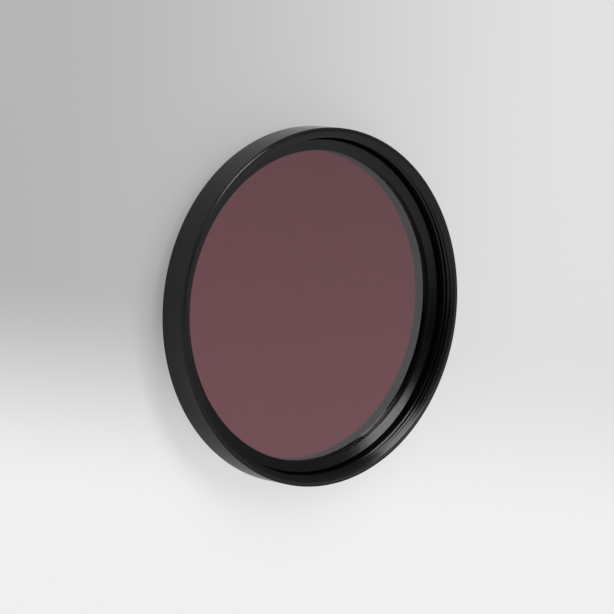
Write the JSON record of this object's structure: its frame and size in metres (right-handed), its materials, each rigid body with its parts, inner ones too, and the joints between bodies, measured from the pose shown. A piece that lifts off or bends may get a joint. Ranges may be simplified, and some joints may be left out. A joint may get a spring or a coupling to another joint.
{
  "type": "narrowband astronomy filter",
  "caption": "Round mounted optical filter: a black threaded cell holds a flat coated disc behind a retaining ring, passing a narrow band of deep red light.",
  "frame": {"origin": "centre of the rear end face, on which the filter lies, on the optical axis", "axes": "+Z along the optical axis, out of the front (female thread) side; X and Y are alike"},
  "size_m": [0.05, 0.05, 0.0061],
  "materials": {
    "black_anodised_cell": "satin black anodised, turned",
    "coated_glass": "polished, interference coated",
    "black_anodised_ring": "satin black anodised, turned"
  },
  "bodies": {
    "root": {"filter_cell": "black_anodised_cell", "filter_glass": "coated_glass", "retaining_ring": "black_anodised_ring"}
  },
  "joints": []
}
